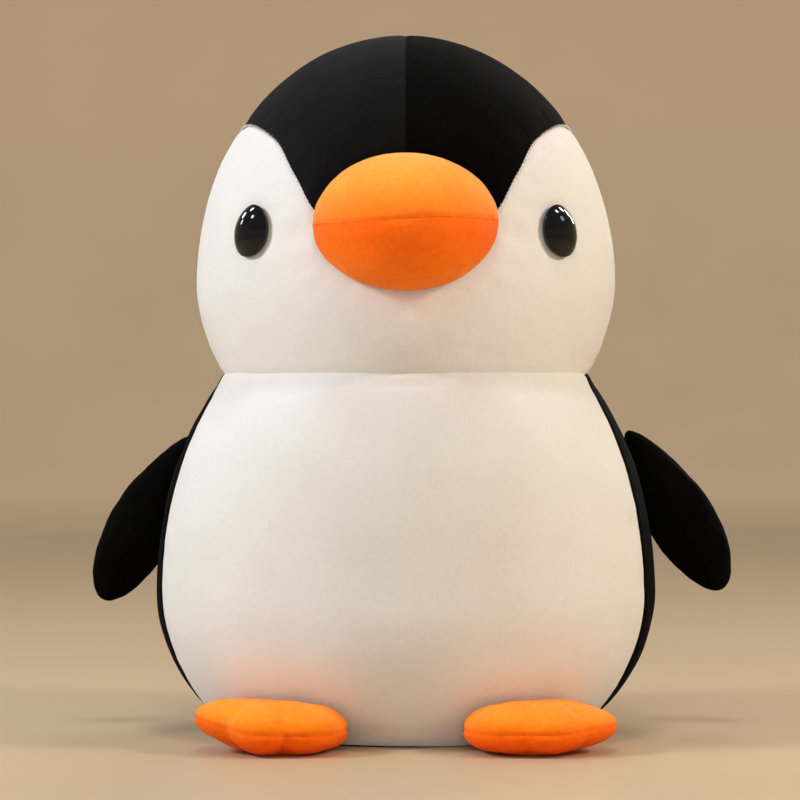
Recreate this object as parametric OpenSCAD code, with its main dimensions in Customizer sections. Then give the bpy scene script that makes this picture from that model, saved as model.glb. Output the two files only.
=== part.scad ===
// Plush penguin that sits on a flat base, 450 mm tall.
// Origin at the middle of the base, +Z up, the face looks along -Y.
// Left and right are the penguin's own: its left side is at +X.
// Each fabric panel, each cushion of stuffing and each eye part is a node of its own.

/* [Body] */
// Half the width of the body where it is widest, mm
body_half = 161.7; // [120:0.1:200]
// Height of the widest part of the body, mm
body_mid = 92; // [60:1:120]
// How far the body's oval would rise above its widest part, mm
body_rise = 202; // [150:1:240]
// How far the body's oval would drop below its widest part, mm
body_drop = 127; // [100:1:160]
// Depth of the belly as a share of its width
body_depth = 0.88; // [0.7:0.01:1]
// Direction of the belly's side seam, degrees round from the front
belly_seam = 74.5; // [60:0.5:85]
// How far the belly panel sits round towards the penguin's right, degrees
belly_turn = 2.6; // [0:0.1:6]

/* [Neck] */
// Height of the neck seam, mm
neck_z = 232; // [210:1:250]
// Height of the top edge of the body panels, mm
collar_z = 227.5; // [205:0.5:245]
// Height the head panels are tucked down to inside the collar, mm
tuck_z = 216; // [200:1:230]
// Radius of the ball the head turns on, mm
ball_r = 130.9; // [120:0.1:140]
// Depth of the wad of stuffing under that ball, mm
wad_depth = 19; // [10:1:30]
// Radius of the wad, mm
wad_r = 112; // [90:1:114]

/* [Head] */
// Half the width of the head where it is widest, mm
head_half = 135.3; // [110:0.1:160]
// Height of the widest part of the head, mm
head_mid = 287; // [270:1:300]
// Height of the crown above the widest part, mm
head_rise = 163; // [130:1:190]
// Depth of the head's oval below its widest part, mm
head_drop = 118; // [100:1:140]
// Roundness of the upper head, 2 is a true oval
crown_power = 2.08; // [1.6:0.01:2.6]
// Roundness of the cheeks, 2 is a true oval
cheek_power = 1.8; // [1.5:0.01:2.4]
// Depth of the head as a share of its width
head_depth = 0.95; // [0.8:0.01:1.1]

/* [Beak] */
// Half the width of the beak, mm
beak_half = 57; // [40:0.5:70]
// Half the height of the beak, mm
beak_tall = 42.5; // [30:0.5:55]
// Height of the beak's middle, mm
beak_z = 323.5; // [300:0.5:345]
// How far the beak stands out from the face, mm
beak_out = 47; // [25:1:65]

/* [Eyes] */
// Direction of each eye, degrees round from the front
eye_turn = 46; // [35:0.5:55]
// Height of each eye, mm
eye_z = 319.5; // [300:0.5:340]
// Half the height of an eye, mm
eye_r = 16.6; // [10:0.1:20]
// Width of an eye as a share of its height
eye_oval = 0.86; // [0.7:0.01:1]
// How far the eye stands out from the fabric, mm
eye_out = 9; // [5:0.5:14]
// Radius of the eye's shank, mm
shank_r = 2.2; // [1.5:0.1:3.5]
// Length of the eye's shank behind the fabric, mm
shank_long = 14; // [8:1:20]
// Radius of the washer that locks the eye, mm
washer_r = 9; // [6:0.5:12]

/* [Flippers] */
// Root of a flipper, mm out from the middle
shoulder_x = 148.5; // [140:0.5:165]
// Height of a flipper's root, mm
shoulder_z = 188; // [160:0.5:210]
// How much nearer the middle the right flipper's root is than the left's, mm
right_inset = 4; // [0:0.5:10]
// How much lower the right flipper's root is than the left's, mm
right_drop = 4.5; // [0:0.5:12]
// Middle plane of a flipper, mm behind the middle of the body
flipper_y = 20; // [0:1:40]
// Length of a flipper, mm
flipper_long = 122; // [90:1:150]
// Half the width of a flipper at its middle, mm
flipper_half = 22.1; // [15:0.1:30]
// How much wider a flipper is towards its tip than towards its root, mm
flipper_tip = 4.6; // [0:0.1:9]
// How much a flipper narrows towards both of its ends, mm
flipper_ends = 4.4; // [0:0.1:8]
// Half the thickness of a flipper, mm
flipper_thick = 13; // [8:0.5:18]
// Rest angle of the left flipper from straight down, degrees
spread_left = 31.5; // [15:0.5:50]
// Rest angle of the right flipper from straight down, degrees
spread_right = 28.5; // [15:0.5:50]

/* [Feet] */
// Middle of a foot, mm out from the middle of the body
foot_x = 81.5; // [60:0.5:100]
// Middle of a foot, mm in front of the middle of the body
foot_y = 117; // [95:1:130]
// Half the width of a foot, mm
foot_half = 47.5; // [35:0.5:55]
// Half the length of a foot, mm
foot_long = 39; // [28:0.5:48]
// Thickness of a foot, mm
foot_thick = 31; // [20:0.5:40]
// Bulge of the toes, mm
toe_bulge = 2.5; // [0:0.5:7]
// Depth of the hollows between the toes, as a share of the foot's thickness
toe_hollow = 0.3; // [0:0.01:0.4]
// How far each foot points outwards, degrees
foot_splay = 16; // [0:1:35]
// How far the left foot's outer toe is lifted off the table, mm
toe_lift_left = 3.5; // [0:0.5:12]
// How far the right foot's outer toe is lifted off the table, mm
toe_lift_right = 8; // [0:0.5:12]
// How much thinner the left foot's outer toe is, as a share
toe_thin_left = 0.34; // [0:0.02:0.5]
// How much thinner the right foot's outer toe is, as a share
toe_thin_right = 0.1; // [0:0.02:0.5]

/* [Fabric] */
// Thickness of the fabric with its nap, mm
cloth = 2; // [1:0.1:3]
// Space between the fabric and the stuffing, mm
slack = 1; // [0.5:0.1:2]
// Space left at a sewn seam, mm
seam = 0.3; // [0.1:0.05:0.6]

/* [Hidden] */
stuffing = cloth + slack;
half_seam = seam / 2;
base_inset = 4.9;
// Turn round the head and height of points along the seam between cap and face, mm
cap_seam = [[0, 306], [22, 324], [34, 354], [47, 378], [70, 389.5], [93, 384],
            [108, 350], [108, 292], [97, tuck_z]];
seam_steps = 24;
ring_steps = 8;
turn_steps = 36;

// ---- Shared rules ----

function clamp(t) = min(1, max(0, t));
function smooth(t) = let(c = clamp(t)) c * c * (3 - 2 * c);
function mix(a, b, t) = a + (b - a) * t;
function flat(rows) = [for (row = rows) each row];
function reversed(rows) = [for (i = [len(rows) - 1:-1:0]) rows[i]];

// Surface between an outer and an inner grid of points, closed round its edge
module shell(outer, inner) {
  n = len(outer);
  m = len(outer[0]);
  s = n * m;
  edge = concat([for (j = [0:m - 2]) j],
                [for (i = [0:n - 2]) i * m + m - 1],
                [for (j = [m - 1:-1:1]) (n - 1) * m + j],
                [for (i = [n - 1:-1:1]) i * m]);
  e = len(edge);
  polyhedron(
    points = concat(flat(outer), flat(inner)),
    faces = concat(
      [for (k = [0:e - 1])
        let(p = edge[k], q = edge[(k + 1) % e]) each [[q, p, p + s], [q, p + s, q + s]]],
      [for (i = [0:n - 2], j = [0:m - 2])
        let(a = i * m + j) each [[a, a + 1, a + m + 1], [a, a + m + 1, a + m]]],
      [for (i = [0:n - 2], j = [0:m - 2])
        let(a = s + i * m + j) each [[a, a + m + 1, a + 1], [a, a + m, a + m + 1]]]));
}

// Closed surface through a stack of rings, from one end point to the other
module blob(rings, first, last) {
  n = len(rings);
  m = len(rings[0]);
  polyhedron(
    points = concat(flat(rings), [first, last]),
    faces = concat(
      [for (j = [0:m - 1]) [n * m, (j + 1) % m, j]],
      [for (i = [0:n - 2], j = [0:m - 1])
        let(a = i * m + j, b = i * m + (j + 1) % m) each [[a, b, b + m], [a, b + m, a + m]]],
      [for (j = [0:m - 1]) [n * m + 1, (n - 1) * m + j, (n - 1) * m + (j + 1) % m]]));
}

// ---- Body ----

// Half width of the body at a height, t mm inside the fabric's face
function body_w(z, t) =
  let(oval = (z > body_mid ? body_rise : body_drop) - t)
  (body_half - t) * sqrt(max(0, 1 - pow((z - body_mid) / oval, 2)));
function body_k(z) = mix(body_depth, 1, smooth((z - body_mid) / (neck_z - body_mid)));
function body_at(turn, z, t) =
  let(w = body_w(z, t)) [w * sin(turn), -body_k(z) * w * cos(turn), z];
// How far forward the body reaches at x and z, and how far sideways at y and z
function body_front(x, z) =
  let(w = max(1, body_w(z, 0))) body_k(z) * w * sqrt(max(0, 1 - pow(x / w, 2)));
function body_side(y, z) =
  let(w = max(1, body_w(z, 0))) w * sqrt(max(0, 1 - pow(y / (body_k(z) * w), 2)));
function seam_turn(z) =
  belly_seam + 6 * pow(clamp((z - 110) / 120), 4) + 12 * pow(clamp(1 - z / 48), 2);

// Heights of the rows of points up the body, closer together where its side curves in
body_levels = [for (i = [0:16]) collar_z * (1 - cos(180 * i / 16) + 0.5 * i / 16) / 2.5];

// Panel of the body; at each height it runs between the two turns listed in ends
module body_patch(ends, steps) {
  grid = [for (t = [0, cloth])
    [for (i = [0:len(body_levels) - 1])
      [for (j = [0:steps])
        body_at(mix(ends[i][0], ends[i][1], j / steps), body_levels[i], t)]]];
  shell(grid[0], grid[1]);
}

module belly_panel() {
  ends = [for (z = body_levels)
    [half_seam - belly_turn - seam_turn(z), seam_turn(z) - belly_turn - half_seam]];
  color("white") body_patch(ends, 16);
}

module back_panel_left() {
  ends = [for (z = body_levels) [seam_turn(z) - belly_turn + half_seam, 180 - half_seam]];
  color("#1b1b1d") body_patch(ends, 12);
}

module back_panel_right() {
  ends = [for (z = body_levels) [seam_turn(z) + belly_turn + half_seam, 180 - half_seam]];
  color("#1b1b1d") mirror([1, 0, 0]) body_patch(ends, 12);
}

module base_panel() {
  r = body_w(0, 0) - base_inset;
  color("#1b1b1d")
    linear_extrude(cloth)
      polygon([for (a = [0:5:355]) [r * sin(a), r * body_depth * cos(a)]]);
}

module torso_filling() {
  top = 226.2;
  gap = 1;
  bore = wad_r + gap;
  dish = ball_r + gap;
  pit = ball_r + wad_depth + gap;
  sides = [for (i = [0:14]) mix(cloth + 0.8, top, (1 - cos(180 * i / 14) + 0.5 * i / 14) / 2.5)];
  turns = [for (a = [0:turn_steps - 1]) a * 360 / turn_steps];
  walls = [for (z = sides) [for (a = turns) body_at(a, z, stuffing)]];
  cavity = concat([[bore, head_mid - sqrt(dish * dish - bore * bore)]],
                  [for (r = [bore, 99, 85, 71, 57, 43, 28, 14]) [r, head_mid - sqrt(pit * pit - r * r)]]);
  hollow = [for (c = cavity) [for (a = turns) [c[0] * sin(a), -c[0] * cos(a), c[1]]]];
  color("ivory")
    blob(concat(walls, hollow), [0, 0, cloth + 0.8], [0, 0, head_mid - pit]);
}

// ---- Neck ----

module neck_filling() {
  color("ivory")
    rotate_extrude()
      intersection() {
        difference() {
          translate([0, head_mid]) circle(ball_r + wad_depth);
          translate([0, head_mid]) circle(ball_r);
        }
        translate([0, 100]) square([wad_r, neck_z - 110]);
      }
}

module neck_seam() {
  color("#d9d2c6")
    rotate_extrude()
      translate([119.7, neck_z - 1.5]) circle(0.9);
}

// ---- Head ----

// Unit direction from turn and rise, and the angles and point that belong to it
function way(turn, rise) = [cos(rise) * sin(turn), -cos(rise) * cos(turn), sin(rise)];
function head_k(z) = mix(1, head_depth, smooth((z - neck_z) / (head_mid - neck_z)));
function head_point(d, t) =
  let(up = d[2] > 0,
      z = head_mid + (up ? head_rise - t : head_drop - t) * d[2],
      w = (head_half - t) * sqrt(max(0, 1 - pow(abs(d[2]), up ? crown_power : cheek_power))),
      n = max(0.000001, norm([d[0], d[1]])))
  [w * d[0] / n, head_k(z) * w * d[1] / n, z];
function rise_at(z) = asin((z - head_mid) / (z > head_mid ? head_rise : head_drop));
function head_w(z) =
  head_half * sqrt(1 - pow(abs(sin(rise_at(z))), z > head_mid ? crown_power : cheek_power));
function head_front(x, z) =
  head_k(z) * head_w(z) * sqrt(max(0, 1 - pow(x / head_w(z), 2)));
// Shortest way round from direction a to direction b
function arc(a, b, t) =
  let(g = acos(min(1, max(-1, a * b))))
  g < 0.01 ? a : (a * sin((1 - t) * g) + b * sin(t * g)) / sin(g);
// Smooth curve through a list of points, s from 0 to 1
function along(list, s) =
  let(last = len(list) - 1,
      i = min(last - 1, floor(s * last)),
      f = s * last - i,
      a = list[max(0, i - 1)],
      b = list[i],
      c = list[i + 1],
      d = list[min(last, i + 2)])
  (2 * b + (c - a) * f + (2 * a - 5 * b + 4 * c - d) * f * f
    + (3 * b - a - 3 * c + d) * f * f * f) / 2;
function cap_edge(s) = let(p = along(cap_seam, s)) way(p[0], rise_at(p[1]));

// Panel stretched between two rows of directions
module head_panel(edge, far, steps) {
  grid = [for (t = [0, cloth])
    [for (j = [0:steps])
      [for (i = [0:len(edge) - 1])
        head_point(arc(edge[i], far[i], mix(0.002, 1, j / steps)), t)]]];
  shell(grid[0], grid[1]);
}

module cap_half() {
  total = seam_steps + ring_steps;
  tuck = rise_at(tuck_z);
  start = rise_at(cap_seam[0][1]);
  end = cap_seam[len(cap_seam) - 1][0];
  edge = [for (i = [0:total])
    i <= seam_steps ? cap_edge(i / seam_steps)
                    : way(mix(end, 180, (i - seam_steps) / ring_steps), tuck)];
  middle = [for (i = [0:total]) way(0, mix(start + 4, 176 - tuck, i / total))];
  translate([half_seam, 0, 0]) head_panel(edge, middle, 8);
}

module face_half() {
  chin = 10;
  tuck = rise_at(tuck_z);
  start = rise_at(cap_seam[0][1]);
  end = cap_seam[len(cap_seam) - 1][0];
  edge = [for (i = [0:seam_steps]) cap_edge(i / seam_steps)];
  rim = [for (i = [0:seam_steps])
    i <= chin ? way(0, mix(start - 4, tuck, i / chin))
              : way(mix(0, end - 5, (i - chin) / (seam_steps - chin)), tuck)];
  difference() {
    translate([half_seam, 0, 0]) head_panel(edge, rim, 8);
    eye_place() translate([0, 0, -20]) cylinder(r = shank_r + 0.4, h = 40, $fn = 48);
  }
}

module cap_left() {
  color("#1b1b1d") cap_half();
}

module cap_right() {
  color("#1b1b1d") mirror([1, 0, 0]) cap_half();
}

module face_left() {
  color("white") face_half();
}

module face_right() {
  color("white") mirror([1, 0, 0]) face_half();
}

module head_filling() {
  rings = [for (i = [1:17])
    [for (a = [0:turn_steps - 1])
      head_point(way(a * 360 / turn_steps, 90 - i * 10), stuffing)]];
  color("ivory")
    difference() {
      blob(reversed(rings), [0, 0, head_mid - head_drop + stuffing],
           [0, 0, head_mid + head_rise - stuffing]);
      for (m = [0, 1])
        mirror([m, 0, 0])
          eye_place() translate([0, 0, -shank_long - 5]) cylinder(r = washer_r + 1.5, h = 40);
    }
}

// ---- Beak ----

// Point of the beak, t mm inside its fabric: u runs across, v up, out is how far it bulges
function beak_point(u, v, out, t) =
  let(x = (beak_half - t) * u,
      z = beak_z + (beak_tall - t) * v)
  [x, -head_front(x, z) - 0.8 - (beak_out - t) * out, z];

module beak_panel(up) {
  corner = 76;
  rows = 6;
  grid = [for (t = [0, cloth])
    [for (i = [0:14])
      let(a = mix(-up * corner, up * corner, i / 14), u = sin(a) / sin(corner))
      [for (j = [0:rows])
        let(rise = 90 * (1 - pow(1 - j / rows, 0.8)),
            bulge = cos(rise) * sqrt(max(0, 1 - u * u)))
        beak_point(u, up * cos(a) * sin(rise), bulge, t) + [0, 0, up * half_seam]]]];
  shell(grid[0], grid[1]);
}

module beak_upper() {
  color("#ff9a3c") beak_panel(1);
}

module beak_lower() {
  color("#ff7a1a") beak_panel(-1);
}

module beak_filling() {
  t = cloth + 0.6;
  dome = [for (i = [1:6])
    [for (a = [0:15:345])
      beak_point(sin(15 * i) * cos(a) * 0.97, sin(15 * i) * sin(a) * 0.97, cos(15 * i), t)]];
  back = [for (r = [0.64, 0.32])
    [for (a = [0:15:345]) beak_point(r * cos(a), r * sin(a), 0, t)]];
  color("ivory") blob(concat(dome, back), beak_point(0, 0, 1, t), beak_point(0, 0, 0, t));
}

// ---- Eyes ----

// Puts +Z square to the left side of the face at the eye
module eye_place() {
  p = head_point(way(eye_turn, rise_at(eye_z)), 0);
  w = head_w(eye_z);
  n = [p[0] / pow(w, 2), p[1] / pow(w * head_depth, 2), (eye_z - head_mid) / pow(head_rise, 2)];
  translate(p)
    rotate([0, acos(n[2] / norm(n)), atan2(n[1], n[0])])
      rotate([0, 0, 90])
        children();
}

module eye() {
  brow = eye_out - 2;
  dome_r = (pow(eye_r, 2) + pow(brow, 2)) / (2 * brow);
  dome = [for (i = [1:6])
    let(r = eye_r * sin(15 * i)) [r, eye_out - dome_r + sqrt(pow(dome_r, 2) - r * r)]];
  profile = concat(dome, [[eye_r, 0], [shank_r, 0], [shank_r, -shank_long]]);
  eye_place()
    translate([0, 0, 0.6])
      blob([for (p = profile)
             [for (a = [0:15:345]) [eye_oval * p[0] * cos(a), p[0] * sin(a), p[1]]]],
           [0, 0, eye_out], [0, 0, -shank_long]);
}

module eye_washer() {
  eye_place()
    translate([0, 0, -cloth - 5])
      difference() {
        cylinder(r = washer_r, h = 2);
        translate([0, 0, -1]) cylinder(r = shank_r + 0.1, h = 4);
      }
}

module eye_left() {
  color("#0b0b0d") eye();
}

module eye_right() {
  color("#0b0b0d") mirror([1, 0, 0]) eye();
}

module eye_washer_left() {
  color("#e8e8e8") eye_washer();
}

module eye_washer_right() {
  color("#e8e8e8") mirror([1, 0, 0]) eye_washer();
}

// ---- Flippers ----

// Root of a flipper, out and up, and its rest angle
left_hang = [shoulder_x, shoulder_z, spread_left];
right_hang = [shoulder_x - right_inset, shoulder_z - right_drop, spread_right];

// Point of a flipper: angle a round its outline, share r out from its middle,
// side -1 for the front face and 1 for the back, t mm inside the fabric
function flipper_point(a, r, side, hang, t) =
  let(c = cos(a),
      half = flipper_long / 2,
      length = half - 7 + (half - t) * r * c,
      across = (flipper_half - t + flipper_tip * c - flipper_ends * c * c) * r * sin(a),
      y = flipper_y + side * (flipper_thick - t) * sqrt(max(0, 1 - r * r)),
      x = hang[0] + length * sin(hang[2]) + across * cos(hang[2]),
      z = hang[1] - length * cos(hang[2]) + across * sin(hang[2]))
  [max(x, body_side(y, z) + 1.4 + t), y + side * seam * 0.5, z];

flipper_turns = [0:15:345];
flipper_shares = [0.25, 0.5, 0.72, 0.88, 0.97, 1];

module flipper_panel(side, hang) {
  outer = [for (r = flipper_shares) [for (a = flipper_turns) flipper_point(a, r, side, hang, 0)]];
  inner = [for (r = flipper_shares)
    [for (a = flipper_turns) flipper_point(a, r, side, hang, cloth)]];
  blob(concat(outer, reversed(inner)), flipper_point(0, 0, side, hang, 0),
       flipper_point(0, 0, side, hang, cloth));
}

module flipper_filling(hang) {
  t = stuffing;
  front = [for (r = flipper_shares) [for (a = flipper_turns) flipper_point(a, r, -1, hang, t)]];
  back = [for (r = [0.97, 0.88, 0.72, 0.5, 0.25])
    [for (a = flipper_turns) flipper_point(a, r, 1, hang, t)]];
  blob(concat(front, back), flipper_point(0, 0, -1, hang, t), flipper_point(0, 0, 1, hang, t));
}

module flipper_left_front() {
  color("#1b1b1d") flipper_panel(-1, left_hang);
}

module flipper_left_back() {
  color("#1b1b1d") flipper_panel(1, left_hang);
}

module flipper_left_filling() {
  color("ivory") flipper_filling(left_hang);
}

module flipper_right_front() {
  color("#1b1b1d") mirror([1, 0, 0]) flipper_panel(-1, right_hang);
}

module flipper_right_back() {
  color("#1b1b1d") mirror([1, 0, 0]) flipper_panel(1, right_hang);
}

module flipper_right_filling() {
  color("ivory") mirror([1, 0, 0]) flipper_filling(right_hang);
}

// ---- Feet ----

// Lift and thinning of each foot's outer toe
left_toe = [toe_lift_left, toe_thin_left];
right_toe = [toe_lift_right, toe_thin_right];

// Point of a foot: angle a round its outline from the toes, share r out from its middle,
// up 1 for the upper face and -1 for the sole, t mm inside the fabric
function foot_point(a, r, up, toe, t) =
  let(front = smooth((98 - min(a, 360 - a)) / 28),
      web = 1 - sqrt(abs(cos(3 * a))),
      toes = toe_bulge * (1 - 2.2 * web) * front,
      reach = 1 / sqrt(pow(sin(a) / foot_half, 2) + pow(cos(a) / foot_long, 2)) + toes - t,
      side = reach * r * sin(a),
      ahead = reach * r * cos(a),
      x = foot_x + side * cos(foot_splay) + ahead * sin(foot_splay),
      y = -foot_y + side * sin(foot_splay) - ahead * cos(foot_splay),
      outer = smooth((x - foot_x - 6) / 44),
      hollow = toe_hollow * web * front * smooth((r - 0.3) / 0.5),
      high = foot_thick * (up > 0 ? 0.55 * (1 - hollow) : 0.45 * (1 - 0.7 * hollow))
             * (1 - (up > 0 ? 1 : 0.5) * toe[1] * outer),
      curve = sqrt(max(0, 1 - pow(r, up > 0 ? 2.3 : 3.6))),
      z = foot_thick * 0.45 + toe[0] * outer + up * ((high - t) * curve + seam * 0.5))
  [x, min(y, -body_front(x, z) - 1.6 - 0.1 * z - 1.3 * t), z];

foot_turns = [0:10:350];
foot_shares = [0.3, 0.58, 0.8, 0.93, 1];

module foot_panel(up, toe) {
  outer = [for (r = foot_shares) [for (a = foot_turns) foot_point(a, r, up, toe, 0)]];
  inner = [for (r = foot_shares) [for (a = foot_turns) foot_point(a, r, up, toe, cloth)]];
  blob(concat(outer, reversed(inner)), foot_point(0, 0, up, toe, 0), foot_point(0, 0, up, toe, cloth));
}

module foot_filling(toe) {
  t = stuffing;
  top = [for (r = foot_shares) [for (a = foot_turns) foot_point(a, r, 1, toe, t)]];
  under = [for (r = [0.93, 0.8, 0.58, 0.3]) [for (a = foot_turns) foot_point(a, r, -1, toe, t)]];
  blob(concat(top, under), foot_point(0, 0, 1, toe, t), foot_point(0, 0, -1, toe, t));
}

module foot_left_upper() {
  color("#ff8f2e") foot_panel(1, left_toe);
}

module foot_left_sole() {
  color("#ff7a1a") foot_panel(-1, left_toe);
}

module foot_left_filling() {
  color("ivory") foot_filling(left_toe);
}

module foot_right_upper() {
  color("#ff8f2e") mirror([1, 0, 0]) foot_panel(1, right_toe);
}

module foot_right_sole() {
  color("#ff7a1a") mirror([1, 0, 0]) foot_panel(-1, right_toe);
}

module foot_right_filling() {
  color("ivory") mirror([1, 0, 0]) foot_filling(right_toe);
}

belly_panel();
back_panel_left();
back_panel_right();
base_panel();
torso_filling();
neck_filling();
neck_seam();
cap_left();
cap_right();
face_left();
face_right();
head_filling();
beak_upper();
beak_lower();
beak_filling();
eye_left();
eye_right();
eye_washer_left();
eye_washer_right();
flipper_left_front();
flipper_left_back();
flipper_left_filling();
flipper_right_front();
flipper_right_back();
flipper_right_filling();
foot_left_upper();
foot_left_sole();
foot_left_filling();
foot_right_upper();
foot_right_sole();
foot_right_filling();
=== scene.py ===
"""Looks of the plush penguin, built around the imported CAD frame.

The toy is worked out in mm. Motion, stage, lights and camera are in metres.
"""

import math

import bmesh
import bpy
import numpy as np
from mathutils import Matrix, Vector, kdtree, noise
from mathutils.geometry import delaunay_2d_cdt


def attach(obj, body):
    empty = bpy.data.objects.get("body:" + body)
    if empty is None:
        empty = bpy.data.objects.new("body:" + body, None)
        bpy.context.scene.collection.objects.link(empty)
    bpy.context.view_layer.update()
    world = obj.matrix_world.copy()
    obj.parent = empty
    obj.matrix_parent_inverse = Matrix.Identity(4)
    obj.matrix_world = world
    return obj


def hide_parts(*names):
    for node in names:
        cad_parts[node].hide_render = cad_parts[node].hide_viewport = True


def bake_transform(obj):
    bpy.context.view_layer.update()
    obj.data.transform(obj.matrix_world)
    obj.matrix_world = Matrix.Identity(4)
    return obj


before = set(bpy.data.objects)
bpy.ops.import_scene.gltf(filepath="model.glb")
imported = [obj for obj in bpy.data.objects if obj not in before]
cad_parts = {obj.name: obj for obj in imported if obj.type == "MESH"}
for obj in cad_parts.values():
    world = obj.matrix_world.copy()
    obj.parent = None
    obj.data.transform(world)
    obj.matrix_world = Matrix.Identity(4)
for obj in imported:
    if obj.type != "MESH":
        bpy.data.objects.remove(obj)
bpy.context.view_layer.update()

MM = 0.001

# ---- Sizes shared with the CAD part ----
BODY_HALF, BODY_MID, BODY_RISE, BODY_DROP, BODY_DEPTH = 161.7, 92.0, 202.0, 127.0, 0.88
BELLY_SEAM, BELLY_TURN = 74.5, 2.6
NECK_Z, COLLAR_Z, TUCK_Z = 232.0, 227.5, 216.0
NECK_FULL = 2.4
HEAD_HALF, HEAD_MID, HEAD_RISE, HEAD_DROP, HEAD_DEPTH = 135.3, 287.0, 163.0, 118.0, 0.95
CROWN_POWER, CHEEK_POWER = 2.08, 1.8
BEAK_HALF, BEAK_TALL, BEAK_Z, BEAK_OUT = 57.0, 42.5, 323.5, 47.0
EYE_TURN, EYE_Z, EYE_R, EYE_OVAL, EYE_OUT = 46.0, 319.5, 16.6, 0.86, 9.0
FLIPPER_Y, FLIPPER_LONG, FLIPPER_HALF, FLIPPER_THICK = 20.0, 122.0, 22.1, 13.0
FLIPPER_TIP, FLIPPER_ENDS = 4.6, 4.4
# For each flipper: x and z of its root in mm, and how far it stands off in degrees.
HANG = {"left": (148.5, 188.0, 31.5), "right": (144.5, 183.5, 28.5)}
FOOT_X, FOOT_Y, FOOT_HALF, FOOT_LONG, FOOT_THICK = 81.5, 117.0, 47.5, 39.0, 31.0
TOE_BULGE, TOE_HOLLOW, FOOT_SPLAY = 2.5, 0.3, 16.0
# For each foot: how far its outer toe lifts in mm, how much thinner it gets, how deep the toes part.
OUTER_TOE = {"left": (3.5, 0.34, 0.9), "right": (8.0, 0.28, 1.5)}
TOE_SOFT = 0.02
HEEL_GAP, HEEL_LEAN, FLIPPER_GAP = 2.2, 0.14, 1.0
BEAK_LIFT, BEAK_POWER = 0.6, 0.92
LIP_SKEW, LIP_SPAN = 1.6, 15.0
EYE_BROW = EYE_OUT - 2
DOME_R = (EYE_R**2 + EYE_BROW**2) / (2 * EYE_BROW)
EYE_SINK = 0.8
BODY_TOP = COLLAR_Z + 4.4
THREAD_RING, THREAD_R, THREAD_PLIES = 115.8, 0.8, 90
SIDES = ((1, "left"), (-1, "right"))
MIRROR = {"left": np.ones(3), "right": np.array([-1.0, 1.0, 1.0])}
# Turn from the front in degrees, and height, of points along the seam between face and cap.
CAP_SEAM = np.array(
    [[0, 306], [22, 324], [34, 354], [47, 378], [70, 389.5], [93, 384], [108, 350], [108, 292], [97, TUCK_Z]],
    float,
)


def rad(a):
    return np.radians(a)


def smooth(t):
    c = np.clip(t, 0, 1)
    return c * c * (3 - 2 * c)


def mix(a, b, t):
    return a + (b - a) * t


# ---- Surfaces ----
def body_w(z, t=0.0):
    oval = np.where(z > BODY_MID, BODY_RISE, BODY_DROP) - t
    return (BODY_HALF - t) * np.sqrt(np.maximum(0, 1 - ((z - BODY_MID) / oval) ** 2))


def body_k(z):
    return mix(BODY_DEPTH, 1.0, smooth((z - BODY_MID) / (NECK_Z - BODY_MID)))


def body_at(turn, z, t=0.0):
    w = body_w(z, t)
    return np.stack([w * np.sin(rad(turn)), -body_k(z) * w * np.cos(rad(turn)), z + 0 * turn], -1)


def body_front(x, z):
    w = np.maximum(1, body_w(z))
    return body_k(z) * w * np.sqrt(np.maximum(0, 1 - (x / w) ** 2))


def body_side(y, z):
    w = np.maximum(1, body_w(z))
    return w * np.sqrt(np.maximum(0, 1 - (y / (body_k(z) * w)) ** 2))


def seam_turn(z):
    high = np.clip((z - 110) / 120, 0, 1) ** 4
    low = np.clip(1 - z / 48, 0, 1) ** 2
    return BELLY_SEAM + 6 * high + 12 * low


def head_k(z):
    return mix(1.0, HEAD_DEPTH, smooth((z - NECK_Z) / (HEAD_MID - NECK_Z)))


def head_point(d, t=0.0):
    up = d[..., 2] > 0
    z = HEAD_MID + (np.where(up, HEAD_RISE, HEAD_DROP) - t) * d[..., 2]
    power = np.where(up, CROWN_POWER, CHEEK_POWER)
    w = (HEAD_HALF - t) * np.sqrt(np.maximum(0, 1 - np.abs(d[..., 2]) ** power))
    n = np.maximum(1e-6, np.hypot(d[..., 0], d[..., 1]))
    return np.stack([w * d[..., 0] / n, head_k(z) * w * d[..., 1] / n, z], -1)


def way(turn, rise):
    turn, rise = np.broadcast_arrays(rad(np.asarray(turn, float)), rad(np.asarray(rise, float)))
    return np.stack([np.cos(rise) * np.sin(turn), -np.cos(rise) * np.cos(turn), np.sin(rise)], -1)


def rise_at(z):
    z = np.asarray(z, float)
    return np.degrees(np.arcsin((z - HEAD_MID) / np.where(z > HEAD_MID, HEAD_RISE, HEAD_DROP)))


def head_w(z):
    s = np.abs(np.sin(rad(rise_at(z))))
    return HEAD_HALF * np.sqrt(1 - s ** np.where(np.asarray(z) > HEAD_MID, CROWN_POWER, CHEEK_POWER))


def head_front(x, z):
    w = head_w(z)
    return head_k(z) * w * np.sqrt(np.maximum(0, 1 - (x / w) ** 2))


def along(knots, s):
    last = len(knots) - 1
    i = np.minimum(last - 1, np.floor(s * last)).astype(int)
    f = (s * last - i)[:, None]
    a, b = knots[np.maximum(0, i - 1)], knots[i]
    c, d = knots[i + 1], knots[np.minimum(last, i + 2)]
    return (
        2 * b + (c - a) * f + (2 * a - 5 * b + 4 * c - d) * f**2 + (3 * b - a - 3 * c + d) * f**3
    ) / 2


def run_of(line):
    """Length along a line up to each of its points."""
    return np.concatenate([[0], np.cumsum(np.linalg.norm(np.diff(line, axis=0), axis=1))])


def wobble(x, seed):
    """Smooth random curve from -1 to 1 along x, the same on every run."""
    values = [noise.noise(Vector((float(v), seed * 7.31, 2.7))) for v in np.ravel(x)]
    return np.array(values).reshape(np.shape(x))


def lumps(points, size, seed):
    """Smooth random field over points in mm, with features about size mm across."""
    return np.array([noise.noise(Vector(p) / size + Vector((seed * 3.7, 0, 0))) for p in points])


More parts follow.
